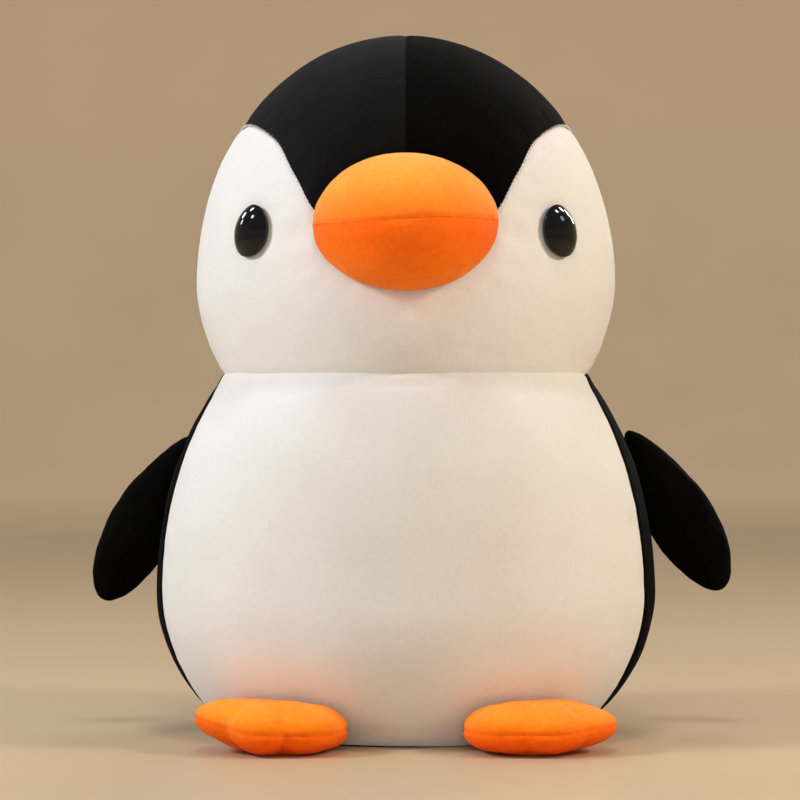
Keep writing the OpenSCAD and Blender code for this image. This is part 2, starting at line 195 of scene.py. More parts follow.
# ---- Seams: where the fabric is drawn in ----
class Seam:
    """A sewn line: points along it in mm, how deep and wide its groove is, and how much it puckers."""

    def __init__(self, points, depth=1.6, width=2.6, pucker=0.5, pitch=6.0, reach=7.0, seed=1):
        raw = np.asarray(points, float)
        run = run_of(raw)
        self.run = np.arange(0, run[-1], 0.4)
        self.points = np.stack([np.interp(self.run, run, raw[:, k]) for k in range(3)], -1)
        self.tree = kdtree.KDTree(len(self.points))
        for i, p in enumerate(self.points):
            self.tree.insert(p, i)
        self.tree.balance()
        self.depth, self.width, self.pucker = depth, width, pucker
        self.pitch, self.reach, self.seed = pitch, reach, seed

    def sink(self, points):
        """How far each point is drawn in, in mm."""
        found = [self.tree.find(p) for p in points]
        d = np.array([f[2] for f in found])
        s = self.run[[f[1] for f in found]]
        near = d < 6 * self.reach
        out = self.depth * np.exp(-((d / self.width) ** 2))
        out = out + 0.35 * self.depth * np.exp(-d / (2.2 * self.width))
        fold = np.zeros(len(d))
        fold[near] = 0.5 + 0.5 * wobble(s[near] / self.pitch, self.seed)
        fine = np.zeros(len(d))
        fine[near] = 0.5 + 0.5 * wobble(s[near] / (0.37 * self.pitch), self.seed + 9)
        out += self.pucker * np.exp(-d / self.reach) * (0.7 * fold + 0.3 * fine)
        return out


def grid_faces(rows, cols, closed=False):
    i, j = np.meshgrid(np.arange(rows - 1), np.arange(cols if closed else cols - 1), indexing="ij")
    a, b = i * cols + j, i * cols + (j + 1) % cols
    return np.stack([a, b, b + cols, a + cols], -1).reshape(-1, 4)


def fan_faces(rows, cols):
    """Faces through closed rings, and a fan that joins the first ring to one more point in its middle."""
    fan = [(rows * cols, j, (j + 1) % cols) for j in range(cols)]
    return [tuple(f) for f in grid_faces(rows, cols, True)] + fan


def make_mesh(name, verts, faces, outward):
    """Smooth mesh from points in mm. outward is a point inside it that its faces look away from."""
    me = bpy.data.meshes.new(name)
    me.from_pydata((np.asarray(verts) * MM).tolist(), [], [list(map(int, f)) for f in faces])
    bm = bmesh.new()
    bm.from_mesh(me)
    bmesh.ops.remove_doubles(bm, verts=bm.verts, dist=0.00002)
    bmesh.ops.recalc_face_normals(bm, faces=bm.faces)
    centre = Vector(outward) * MM
    side = sum((f.calc_center_median() - centre).dot(f.normal) * f.calc_area() for f in bm.faces)
    if side < 0:
        bmesh.ops.reverse_faces(bm, faces=bm.faces)
    bm.to_mesh(me)
    bm.free()
    for p in me.polygons:
        p.use_smooth = True
    ob = bpy.data.objects.new(name, me)
    bpy.context.scene.collection.objects.link(ob)
    return ob


def turn_in(ob, depth):
    """Adds a narrow turned-in edge all round an open panel, as at a sewn seam."""
    bm = bmesh.new()
    bm.from_mesh(ob.data)
    bm.normal_update()
    rim = [e for e in bm.edges if e.is_boundary]
    for e in rim:
        e.smooth = False
    new = bmesh.ops.extrude_edge_only(bm, edges=rim)["geom"]
    folded = {v for v in new if isinstance(v, bmesh.types.BMVert)}
    shift = {}
    for v in folded:
        old = [e.other_vert(v) for e in v.link_edges if e.other_vert(v) not in folded]
        shift[v] = -old[0].normal * depth * MM
    for v, d in shift.items():
        v.co += d
    bmesh.ops.recalc_face_normals(bm, faces=bm.faces)
    bm.to_mesh(ob.data)
    bm.free()
    for p in ob.data.polygons:
        p.use_smooth = True


def closed(rings, first, last):
    """Points and faces of a closed skin through rings of points, with a point at either end."""
    rings = np.asarray(rings)
    n, m = rings.shape[:2]
    faces = [tuple(f) for f in grid_faces(n, m, True)]
    faces += [(n * m, j, (j + 1) % m) for j in range(m)]
    faces += [(n * m + 1, (n - 1) * m + (j + 1) % m, (n - 1) * m + j) for j in range(m)]
    return np.concatenate([rings.reshape(-1, 3), [first, last]]), faces


def vertex_normals(ob):
    n = np.zeros(len(ob.data.vertices) * 3)
    ob.data.vertices.foreach_get("normal", n)
    return n.reshape(-1, 3)


def coords(ob):
    co = np.zeros(len(ob.data.vertices) * 3)
    ob.data.vertices.foreach_get("co", co)
    return co.reshape(-1, 3) / MM


def move_to(ob, co):
    ob.data.vertices.foreach_set("co", (co * MM).ravel())
    ob.data.update()


def push(ob, amount):
    """Moves every vertex along its normal by amount mm."""
    move_to(ob, coords(ob) + vertex_normals(ob) * np.asarray(amount)[:, None])


def keep_above_floor(ob):
    co = coords(ob)
    co[:, 2] = np.maximum(co[:, 2], 0.0)
    ob.data.vertices.foreach_set("co", (co * MM).ravel())


def dress(ob, seams, lump=0.8, lump_size=45.0, seed=1, extra=None, flap=3.0, puff=None, slim=0.0):
    """Fills a panel out, draws it in at its seams, makes it slightly uneven, and turns its edge in."""
    if puff:
        co = coords(ob)
        co += puff.at(co)
        move_to(ob, co)
    p = coords(ob)
    amount = lump * lumps(p, lump_size, seed) + 0.35 * lump * lumps(p, lump_size * 0.4, seed + 5)
    amount = amount - (slim if puff else 0)
    for s in seams:
        amount = amount - s.sink(p)
    if extra is not None:
        amount = amount + extra(p)
    push(ob, amount)
    if flap:
        turn_in(ob, flap)
    return ob


# ---- Stuffing: cloth blown up between its seams ----
SIM_FRAMES, SIM_CAP, SIM_EASE = 20, 1.2, 0.01


class Puff:
    """A stuffed part as cloth: a coarse closed copy held along its seams and blown up between them."""

    def __init__(self, name, verts, faces, centre, voxel, seams, hold=None):
        ob = make_mesh(name, verts, faces, centre)
        even = ob.modifiers.new("even", "REMESH")
        even.mode, even.voxel_size = "VOXEL", voxel * MM
        shape = ob.evaluated_get(bpy.context.evaluated_depsgraph_get())
        ob.data = bpy.data.meshes.new_from_object(shape)
        ob.modifiers.clear()
        self.ob, self.rest = ob, coords(ob)
        near = np.full(len(self.rest), 99.0)
        for line in seams:
            near = np.minimum(near, [line.tree.find(c)[2] for c in self.rest])
        held = 1 - smooth((near - 0.6 * voxel) / (1.2 * voxel))
        if hold is not None:
            held = np.maximum(held, hold(self.rest))
        pins = ob.vertex_groups.new(name="held")
        for i in np.nonzero(held > 0)[0]:
            pins.add([int(i)], float(held[i]), "REPLACE")
        cloth = ob.modifiers.new("cloth", "CLOTH")
        c = cloth.settings
        c.quality, c.mass, c.air_damping = 6, 0.15, 6
        c.tension_stiffness = c.compression_stiffness = 18
        c.shear_stiffness, c.bending_stiffness = 8, 0.4
        c.tension_damping = c.compression_damping = 12
        c.use_pressure, c.uniform_pressure_force = True, 4.0
        c.shrink_min = c.shrink_max = -SIM_EASE
        c.vertex_group_mass = "held"
        c.effector_weights.gravity = 0
        cloth.collision_settings.use_collision = False
        cloth.point_cache.frame_start, cloth.point_cache.frame_end = 1, SIM_FRAMES

        for f in range(1, SIM_FRAMES + 1):
            bpy.context.scene.frame_set(f)
        self.settle()
        bpy.context.scene.frame_set(1)

    def settle(self):
        """Keeps how far the fabric moved from its plain shape, and drops the copy."""
        shape = self.ob.evaluated_get(bpy.context.evaluated_depsgraph_get())
        co = np.zeros(len(shape.data.vertices) * 3)
        shape.data.vertices.foreach_get("co", co)
        move = co.reshape(-1, 3) / MM - self.rest
        size = np.maximum(1e-6, np.linalg.norm(move, axis=1))
        self.move = move * (SIM_CAP * np.tanh(size / SIM_CAP) / size)[:, None]
        self.tree = kdtree.KDTree(len(self.rest))
        for i, p in enumerate(self.rest):
            self.tree.insert(p, i)
        self.tree.balance()
        bpy.data.objects.remove(self.ob)

    def at(self, points):
        out = np.zeros((len(points), 3))
        for k, p in enumerate(points):
            found = self.tree.find_n(p, 7)
            w = np.array([1 / (f[2] ** 2 + 2.0) for f in found])
            out[k] = (self.move[[f[1] for f in found]] * w[:, None]).sum(0) / w.sum()
        return out


def puffed(*args, **kwargs):
    return Puff(*args, **kwargs)


# ---- Materials ----
def node(tree, kind, **values):
    n = tree.nodes.new(kind)
    for key, v in values.items():
        if key in n.inputs:
            n.inputs[key].default_value = v
        else:
            setattr(n, key, v)
    return n


def new_material(name):
    """A new material, its node tree, its shader and a node that gives the place on the object."""
    mat = bpy.data.materials.new(name)
    mat.use_nodes = True
    t = mat.node_tree
    return mat, t, t.nodes["Principled BSDF"], node(t, "ShaderNodeTexCoord")


def plush(
    name, colour, dark, light, sheen, sheen_tint, bump=0.5, patch=0.5, gloss=0.15, painted_shade=None, painted_shade_axis="Z"
):
    """Short-nap stretch plush: fine pile, slow patches where the nap lies another way, soft sheen, and
    optional painted shade, a colour multiplied in over a span along one axis.
    """
    mat, t, shader, where = new_material(name)
    slow = node(t, "ShaderNodeTexNoise", Scale=22.0, Detail=3.0, Roughness=0.55)
    pile = node(t, "ShaderNodeTexNoise", Scale=1150.0, Detail=4.0, Roughness=0.62)
    tuft = node(t, "ShaderNodeTexNoise", Scale=330.0, Detail=3.0, Roughness=0.6)
    for n in (slow, pile, tuft):
        t.links.new(where.outputs["Object"], n.inputs["Vector"])
    shade = node(t, "ShaderNodeValToRGB")
    shade.color_ramp.elements[0].position = 0.32
    shade.color_ramp.elements[0].color = (*dark, 1)
    shade.color_ramp.elements[1].position = 0.68
    shade.color_ramp.elements[1].color = (*light, 1)
    middle = shade.color_ramp.elements.new(0.5)
    middle.color = (*colour, 1)
    blend = node(t, "ShaderNodeMix", data_type="FLOAT")
    blend.inputs[0].default_value = patch
    t.links.new(tuft.outputs["Fac"], blend.inputs[2])
    t.links.new(slow.outputs["Fac"], blend.inputs[3])
    t.links.new(blend.outputs[0], shade.inputs["Fac"])
    base = shade.outputs["Color"]
    # Painted shade: the given colour is multiplied in, from none at the first place in mm to full at the
    # second.
    if painted_shade:
        height = node(t, "ShaderNodeSeparateXYZ")
        t.links.new(where.outputs["Object"], height.inputs["Vector"])
        span = node(t, "ShaderNodeMapRange", interpolation_type="SMOOTHSTEP")
        span.inputs["From Min"].default_value = painted_shade[0] * MM
        span.inputs["From Max"].default_value = painted_shade[1] * MM
        t.links.new(height.outputs[painted_shade_axis], span.inputs["Value"])
        painted_shade_mix = node(t, "ShaderNodeMix", data_type="RGBA", blend_type="MULTIPLY")
        painted_shade_mix.inputs[7].default_value = (*painted_shade[2], 1)
        t.links.new(span.outputs["Result"], painted_shade_mix.inputs[0])
        t.links.new(base, painted_shade_mix.inputs[6])
        base = painted_shade_mix.outputs[2]
    t.links.new(base, shader.inputs["Base Color"])
    rough = node(t, "ShaderNodeMapRange")
    rough.inputs["To Min"].default_value = 0.86
    rough.inputs["To Max"].default_value = 1.0
    t.links.new(pile.outputs["Fac"], rough.inputs["Value"])
    t.links.new(rough.outputs["Result"], shader.inputs["Roughness"])
    fine = node(t, "ShaderNodeBump", Strength=bump, Distance=0.0005)
    coarse = node(t, "ShaderNodeBump", Strength=bump * 0.7, Distance=0.0009)
    t.links.new(pile.outputs["Fac"], fine.inputs["Height"])
    t.links.new(tuft.outputs["Fac"], coarse.inputs["Height"])
    t.links.new(coarse.outputs["Normal"], fine.inputs["Normal"])
    t.links.new(fine.outputs["Normal"], shader.inputs["Normal"])
    shader.inputs["Sheen Weight"].default_value = sheen
    shader.inputs["Sheen Roughness"].default_value = 0.45
    shader.inputs["Sheen Tint"].default_value = (*sheen_tint, 1)
    shader.inputs["Specular IOR Level"].default_value = gloss
    return mat


WHITE = plush(
    "white_plush_nap", (0.775, 0.77, 0.765), (0.745, 0.735, 0.725), (0.80, 0.80, 0.80), 0.2,
    (1, 0.98, 0.96), 0.3,
)
BLACK = plush(
    "black_plush_nap", (0.0017, 0.0017, 0.0018), (0.001, 0.001, 0.0011), (0.003, 0.003, 0.0031), 0.012,
    (0.6, 0.6, 0.6), 0.6, gloss=0.04,
)
# Cap panel on the penguin's right: its nap lies another way, and the light it catches is painted in as a
# lighter tone (painted sheen); painted shade darkens it towards the back.
BLACK_NAP_PAINTED_SHEEN = plush(
    "black_plush_nap_up_painted_sheen", (0.0052, 0.0055, 0.0060), (0.0035, 0.0037, 0.0041), (0.008, 0.0084, 0.009), 0.035,
    (0.6, 0.65, 0.7), 0.6, gloss=0.08, painted_shade=(-50, 60, (0.36, 0.35, 0.33)), painted_shade_axis="Y",
)
# Foot uppers: painted shade makes them deeper and redder towards their lower edge.
ORANGE = plush(
    "orange_plush_nap_painted_shade", (1.0, 0.28, 0.016), (0.96, 0.23, 0.010), (1.0, 0.34, 0.028), 0.35,
    (1, 0.66, 0.28), 0.4,
    painted_shade=(26, 12, (1.0, 0.62, 0.4)),
)
# Foot soles: a darker, redder copy of the foot orange, painted shade, with more painted shade near the floor.
SOLE_PAINTED_SHADE = plush(
    "orange_plush_under_painted_shade", (0.97, 0.155, 0.006), (0.92, 0.12, 0.003), (1.0, 0.19, 0.012), 0.15,
    (1, 0.5, 0.15), 0.4,
    painted_shade=(14, 4, (1.0, 0.7, 0.5)),
)
# Upper beak: the lit copy of the beak orange, lighter and yellower as painted light, with painted shade
# deepening it towards the seam.
BEAK_TOP_PAINTED_LIT = plush(
    "beak_plush_painted_lit_top", (1.0, 0.34, 0.034), (0.97, 0.29, 0.022), (1.0, 0.40, 0.05), 0.5, (1, 0.74, 0.36), 0.4,
    painted_shade=(352, 322, (1.0, 0.66, 0.42)),
)
# Lower beak: the shaded copy of the beak orange, deeper and redder as painted shade, darkest just under the
# seam.
BEAK_LOW_PAINTED_SHADE = plush(
    "beak_plush_under_painted_shade", (0.98, 0.20, 0.010), (0.92, 0.16, 0.006), (1.0, 0.25, 0.018), 0.2,
    (1, 0.55, 0.2), 0.4,
    painted_shade=(284, 312, (0.97, 0.72, 0.6)),
)
THREAD = plush(
    "white_thread", (0.72, 0.70, 0.67), (0.6, 0.58, 0.55), (0.8, 0.78, 0.75), 0.1, (1, 1, 1), 0.8
)


def gloss_plastic():
    mat, t, shader, where = new_material("black_eye_gloss")
    haze = node(t, "ShaderNodeTexNoise", Scale=140.0, Detail=2.0)
    t.links.new(where.outputs["Object"], haze.inputs["Vector"])
    tone = node(t, "ShaderNodeValToRGB")
    tone.color_ramp.elements[0].color = (0.002, 0.002, 0.003, 1)
    tone.color_ramp.elements[1].color = (0.006, 0.006, 0.010, 1)
    t.links.new(haze.outputs["Fac"], tone.inputs["Fac"])
    t.links.new(tone.outputs["Color"], shader.inputs["Base Color"])
    rough = node(t, "ShaderNodeMapRange")
    rough.inputs["To Min"].default_value = 0.03
    rough.inputs["To Max"].default_value = 0.06
    t.links.new(haze.outputs["Fac"], rough.inputs["Value"])
    t.links.new(rough.outputs["Result"], shader.inputs["Roughness"])
    shader.inputs["Specular IOR Level"].default_value = 0.36
    return mat


def moulded_plastic(name, colour):
    mat, t, shader, where = new_material(name)
    grain = node(t, "ShaderNodeTexNoise", Scale=600.0, Detail=2.0)
    t.links.new(where.outputs["Object"], grain.inputs["Vector"])
    tone = node(t, "ShaderNodeValToRGB")
    tone.color_ramp.elements[0].color = (*[c * 0.9 for c in colour], 1)
    tone.color_ramp.elements[1].color = (*colour, 1)
    t.links.new(grain.outputs["Fac"], tone.inputs["Fac"])
    t.links.new(tone.outputs["Color"], shader.inputs["Base Color"])
    bump = node(t, "ShaderNodeBump", Strength=0.2, Distance=0.0002)
    t.links.new(grain.outputs["Fac"], bump.inputs["Height"])
    t.links.new(bump.outputs["Normal"], shader.inputs["Normal"])
    shader.inputs["Roughness"].default_value = 0.5
    return mat


EYE = gloss_plastic()
WASHER = moulded_plastic("washer_moulded", (0.8, 0.8, 0.77))


def finish_piece(ob, mat, replaces=()):
    ob.data.materials.clear()
    ob.data.materials.append(mat)
    if replaces:
        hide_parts(*replaces)
    return ob


# ---- Head ----
CHART_R = 135.0
SEAM_N = 380


def to_chart(d):
    """Flat map of half the head about its side, keeping lengths outwards from the middle."""
    out = np.arccos(np.clip(d[..., 0], -1, 1)) * CHART_R
    n = np.maximum(1e-9, np.hypot(d[..., 1], d[..., 2]))
    return np.stack([d[..., 1] / n * out, d[..., 2] / n * out], -1)


def from_chart(q):
    n = np.maximum(1e-9, np.hypot(q[..., 0], q[..., 1]))
    a = n / CHART_R
    return np.stack([np.cos(a), np.sin(a) * q[..., 0] / n, np.sin(a) * q[..., 1] / n], -1)


def inside(points, outline):
    """Which points lie in a closed outline."""
    a, b = outline, np.roll(outline, -1, axis=0)
    hit = np.zeros(len(points), bool)
    for (ax, ay), (bx, by) in zip(a, b):
        if ay != by:
            span = (points[:, 1] > min(ay, by)) & (points[:, 1] <= max(ay, by))
            hit ^= span & (points[:, 0] < ax + (points[:, 1] - ay) / (by - ay) * (bx - ax))
    return hit


def respace(line, gap):
    run = run_of(line)
    want = np.linspace(0, run[-1], max(2, int(run[-1] / gap)) + 1)
    return np.stack([np.interp(want, run, line[:, k]) for k in range(line.shape[1])], -1)


def even_mesh(outline, fine, band):
    """Triangles filling a closed flat outline: close together near its edge, wider apart inside."""
    lo, hi = outline.min(0), outline.max(0)
    rise = fine * math.sqrt(0.75)
    rows, cols = int((hi[1] - lo[1]) / rise), int((hi[0] - lo[0]) / fine)
    j, i = np.meshgrid(np.arange(rows), np.arange(cols), indexing="ij")
    q = np.stack([lo[0] + (i + 0.5 * (j % 2)) * fine, lo[1] + (j + 0.5) * rise], -1).reshape(-1, 2)
    wide = ((j % 2 == 0) & ((i + j // 2) % 2 == 0)).ravel()
    tree = kdtree.KDTree(len(outline))
    for k, c in enumerate(outline):
        tree.insert((c[0], c[1], 0), k)
    tree.balance()
    d = np.array([tree.find((c[0], c[1], 0))[2] for c in q])
    keep = inside(q, outline) & (d > 0.75 * fine) & (wide | (d < band))
    pts = np.concatenate([outline, q[keep]])
    rim = [(k, (k + 1) % len(outline)) for k in range(len(outline))]
    verts, _, faces, _, _, _ = delaunay_2d_cdt([Vector(c) for c in pts], rim, [], 1, 1e-5)
    return np.array([tuple(v) for v in verts]), faces


def cap_edge(s):
    p = along(CAP_SEAM, s)
    return way(p[:, 0], rise_at(p[:, 1]))


tuck = float(rise_at(TUCK_Z))
start = float(rise_at(CAP_SEAM[0, 1]))
rim_turn = CAP_SEAM[-1, 0]

edge_dirs = cap_edge(np.linspace(0, 1, SEAM_N))
centre_seam = head_point(way(0, np.linspace(start, 180 - tuck, 500)))
chin_seam = head_point(way(0, np.linspace(start, tuck, 120)))
neck_ring = head_point(way(np.linspace(0, 360, 400), float(rise_at(NECK_Z))))
beak_angle = np.linspace(0, 2 * math.pi, 300)
beak_x = BEAK_HALF * np.cos(beak_angle)
beak_z = BEAK_Z + BEAK_TALL * np.sin(beak_angle)
beak_ring = np.stack([beak_x, -head_front(beak_x, beak_z), beak_z], -1)

eye_point = head_point(way(EYE_TURN, float(rise_at(EYE_Z))))
eye_w = float(head_w(EYE_Z))
eye_normal = Vector(
    (eye_point[0] / eye_w**2, eye_point[1] / (eye_w * HEAD_DEPTH) ** 2, (EYE_Z - HEAD_MID) / HEAD_RISE**2)
).normalized()


def neck_fill(p):
    """Stuffing pushes the fabric out on both sides of the neck seam, so its groove is shallow."""
    above = p[:, 2] > NECK_Z
    return NECK_FULL * np.exp(-(((p[:, 2] - NECK_Z) / np.where(above, 14, 7)) ** 2))


def head_form(p):
    """The fabric is drawn in round each eye."""
    q = np.abs(p * [1, 0, 0]) + p * [0, 1, 1]
    d = np.linalg.norm(q - eye_point, axis=1)
    return neck_fill(p) - 2.4 * np.exp(-((d / 17.5) ** 4)) - 1.1 * np.exp(-((d / 28.0) ** 2))


seam_3d = head_point(edge_dirs)
head_relief = [
    Seam(seam_3d, 0.75, 1.6, 0.35, 7.0, 6.0, 11),
    Seam(seam_3d * MIRROR["right"], 0.75, 1.6, 0.35, 7.0, 6.0, 12),
    Seam(centre_seam, 0.7, 1.5, 0.3, 9.0, 7.0, 21),
    Seam(chin_seam, 0.12, 1.2, 0.2, 11.0, 8.0, 22),
    Seam(neck_ring, 0.4, 2.2, 0.6, 15.0, 10.0, 23),
    Seam(beak_ring, 1.2, 4.0, 0.4, 9.0, 7.0, 24),
]

turn_grid, rise_grid = np.meshgrid(np.linspace(0, 360, 97)[:-1], np.linspace(-86, 86, 60))
head_skin = closed(
    head_point(way(turn_grid, rise_grid)), [0, 0, HEAD_MID - HEAD_DROP], [0, 0, HEAD_MID + HEAD_RISE]
)
head_puff = puffed(
    "head_cloth",
    *head_skin,
    (0, 0, HEAD_MID),
    5.5,
    head_relief[:2] + head_relief[4:],
    lambda p: 1 - smooth((p[:, 2] - 236) / 12),
)

ring = way(np.linspace(rim_turn, 180, 100), tuck)
over_top = way(0, np.linspace(180 - tuck, start, 340))
chin = way(0, np.linspace(tuck, start, 90))
front_ring = way(np.linspace(rim_turn, 0, 120), tuck)
cap_line = np.concatenate([respace(to_chart(d), 1.5)[:-1] for d in (edge_dirs, ring, over_top)])
face_line = np.concatenate([respace(to_chart(d), 1.5)[:-1] for d in (edge_dirs, front_ring, chin)])

head_pieces = []
for word, outline, mats, slot_name in (
    ("cap", cap_line, (BLACK, BLACK_NAP_PAINTED_SHEEN), "black_plush"),
    ("face", face_line, (WHITE, WHITE), "white_plush"),
):
    flat, faces = even_mesh(outline, 1.7, 7.0)
    world = head_point(from_chart(flat))
    for (side, hand), mat in zip(SIDES, mats):
        ob = make_mesh(f"{word}_{hand}_plush", world * MIRROR[hand], faces, (0, 0, HEAD_MID))
        dress(ob, head_relief, 0.7, 50, 4, head_form, puff=head_puff, slim=0.8)
        cad = [f"{word}_{hand}"] + (["head_filling"] if (word, side) == ("cap", 1) else [])
        finish_piece(ob, mat, cad)
        head_pieces.append(ob)


# ---- Stitches along the seam between cap and face ----
def stitch_row(name, line, outward, pitch, long, thick, lean, seed, mat):
    """Short straight stitches crossing a seam, each a tapered bead of thread on the fabric."""
    run = run_of(line)
    count = int(run[-1] / pitch)
    verts, faces = [], []
    ring_n, along_n = 6, 5
    for k in range(1, count - 1):
        s = (k + 0.25 * float(wobble(np.array([k * 1.7]), seed)[0])) * pitch
        p = np.array([np.interp(s, run, line[:, c]) for c in range(3)])
        q = np.array([np.interp(s + 0.6, run, line[:, c]) for c in range(3)])
        t = (q - p) / np.linalg.norm(q - p)
        n = outward(p)
        b = np.cross(n, t)
        tilt = lean + 0.35 * float(wobble(np.array([k * 0.9]), seed + 3)[0])
        axis = b * math.cos(tilt) + t * math.sin(tilt)
        reach = 0.5 * long * (1 + 0.3 * float(wobble(np.array([k * 1.3]), seed + 5)[0]))
        side = np.cross(n, axis)
        for a in range(along_n):
            u = -1 + 2 * a / (along_n - 1)
            r = thick * math.sqrt(max(0.08, 1 - u * u))
            c = p + axis * reach * u - n * (0.55 * u * u + 0.25)
            for m in range(ring_n):
                w = 2 * math.pi * m / ring_n
                verts.append(c + side * r * math.cos(w) + n * r * math.sin(w))
        base_i = len(verts) - ring_n * along_n
        for a in range(along_n - 1):
            for m in range(ring_n):
                i0 = base_i + a * ring_n
                i1 = i0 + (m + 1) % ring_n
                faces.append((i0 + m, i1, i1 + ring_n, i0 + m + ring_n))
        faces.append(tuple(base_i + m for m in range(ring_n))[::-1])
        faces.append(tuple(base_i + (along_n - 1) * ring_n + m for m in range(ring_n)))
    me = bpy.data.meshes.new(name)
    me.from_pydata((np.array(verts) * MM).tolist(), [], faces)
    for f in me.polygons:
        f.use_smooth = True
    ob = bpy.data.objects.new(name, me)
    bpy.context.scene.collection.objects.link(ob)
    bm = bmesh.new()
    bm.from_mesh(me)
    bmesh.ops.recalc_face_normals(bm, faces=bm.faces)
    bm.to_mesh(me)
    bm.free()
    ob.data.materials.append(mat)
    return ob


def head_out(p):
    w = float(head_w(p[2]))
    drop = HEAD_RISE if p[2] > HEAD_MID else HEAD_DROP
    n = np.array([p[0] / w**2, p[1] / (w * HEAD_DEPTH) ** 2, (p[2] - HEAD_MID) / drop**2])
    return n / np.linalg.norm(n)


stitches = []
for side, hand in SIDES:
    line = seam_3d[12:] * MIRROR[hand]
    row = stitch_row(f"cap_stitches_{hand}", line, head_out, 3.3, 2.3, 0.42, 0.5 * side, 70 + side, THREAD)
    stitches.append(row)

# ---- Beak ----


def beak_y(x, z, bulge):
    """Front-to-back place of the beak's fabric. bulge runs from 0 at its rim to 1 in its middle."""
    return -head_front(x, z) - BEAK_LIFT - BEAK_OUT * bulge


def beak_half(name, up):
    theta = np.linspace(0, math.pi, 150) * up
    phi = np.linspace(0.02, 1, 46) ** 0.9 * math.pi / 2
    ph, th = np.meshgrid(phi, theta, indexing="ij")
    rho, bulge = np.sin(ph), np.cos(ph) ** BEAK_POWER
    x, z = BEAK_HALF * rho * np.cos(th), BEAK_Z + BEAK_TALL * rho * np.sin(th)
    p = np.stack([x, beak_y(x, z, bulge), z], -1)
    hub = np.array([[0, float(beak_y(0, BEAK_Z, 1)), BEAK_Z]])
    verts = np.concatenate([p.reshape(-1, 3), hub])
    n, m = p.shape[:2]
    faces = [tuple(f) for f in grid_faces(n, m)] + [(n * m, j + 1, j) for j in range(m - 1)]
    return make_mesh(name, verts, faces, (0, -100, BEAK_Z))


lip = np.linspace(-math.pi / 2, math.pi / 2, 260)
lip_x = BEAK_HALF * np.sin(lip)
lip_z = BEAK_Z + 0 * lip_x
beak_seam = np.stack([lip_x, beak_y(lip_x, lip_z, np.cos(lip) ** BEAK_POWER), lip_z], -1)
beak_seam[:, 2] += LIP_SKEW * np.tanh(lip_x / LIP_SPAN)
beak_lines = [
    Seam(beak_seam[np.abs(lip_x) < 0.94 * BEAK_HALF], 1.2, 1.4, 0.9, 5.5, 5.0, 31),
    Seam(beak_ring - np.array([0, BEAK_LIFT, 0]), 0.25, 1.6, 0.35, 5.0, 5.0, 32),
]


beak_turn, beak_share = np.meshgrid(
    np.linspace(0, 2 * math.pi, 61)[:-1], np.linspace(0.03, 1, 22) * math.pi / 2
)
skin_x = BEAK_HALF * (np.sin(beak_share) * np.cos(beak_turn))
skin_z = BEAK_Z + BEAK_TALL * (np.sin(beak_share) * np.sin(beak_turn))
beak_rows = np.stack([skin_x, beak_y(skin_x, skin_z, np.cos(beak_share) ** BEAK_POWER), skin_z], -1)
beak_puff = puffed(
    "beak_cloth",
    *closed(beak_rows, beak_rows[0].mean(0), [0, -float(head_front(0, BEAK_Z)) + 12, BEAK_Z]),
    (0, -140, BEAK_Z),
    4.0,
    beak_lines,
    lambda p: 1 - smooth((-p[:, 1] - head_front(p[:, 0], p[:, 2]) - 1.0) / 5.0),
)


def skew_lips(ob):
    """The seam between the halves sits a little lower on one side."""
    co = coords(ob)
    v = (co[:, 2] - BEAK_Z) / BEAK_TALL
    co[:, 2] += LIP_SKEW * np.tanh(co[:, 0] / LIP_SPAN) * np.maximum(0, 1 - np.abs(v)) ** 1.5
    move_to(ob, co)


beak_pieces = []
for up, word in ((1, "upper"), (-1, "lower")):
    piece = beak_half(f"beak_{word}_plush", up)
    skew_lips(piece)
    dress(piece, beak_lines, 0.6, 30, 6 + up, puff=beak_puff)
    finish_piece(piece, BEAK_TOP_PAINTED_LIT if up > 0 else BEAK_LOW_PAINTED_SHADE, [f"beak_{word}"])
    beak_pieces.append(piece)
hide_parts("beak_filling")

# ---- Eyes ----


def eye_axes():
    """Sideways, upward and outward direction of the left eye."""
    z = Vector(eye_normal)
    up = Vector((0, 0, 1))
    y = (up - z * up.dot(z)).normalized()
    return y.cross(z), y, z


def eye_place(side):
    m = Matrix(eye_axes()).transposed().to_4x4()
    m.translation = Vector(eye_point) * MM
    return Matrix.Diagonal((side, 1, 1, 1)) @ m


eyes = []
for side, word in SIDES:
    r = EYE_R * np.sin(np.linspace(0.02, 1, 26) * math.pi / 2)
    h = EYE_OUT - DOME_R + np.sqrt(DOME_R**2 - r**2)
    r = np.concatenate([r, [EYE_R * 1.0, EYE_R * 0.985, EYE_R * 0.9]])
    h = np.concatenate([h, [1.2, 0.2, -1.6]]) - EYE_SINK
    a = np.linspace(0, 2 * math.pi, 73)[:-1]
    egg = 1 - 0.05 * np.sin(a)
    ring = np.stack(
        [EYE_OVAL * egg * r[:, None] * np.cos(a), r[:, None] * np.sin(a), h[:, None] + 0 * a], -1
    )
    verts = np.concatenate([ring.reshape(-1, 3), [[0, 0, EYE_OUT - EYE_SINK]]])
    faces = fan_faces(*ring.shape[:2])
    place = eye_place(side)
    world = np.array([place @ (Vector(v) * MM) for v in verts]) / MM
    eye = make_mesh(f"eye_{word}_dome", world, faces, np.array(eye_point) * [side, 0.9, 1])
    finish_piece(eye, EYE, [f"eye_{word}"])
    eyes.append(eye)

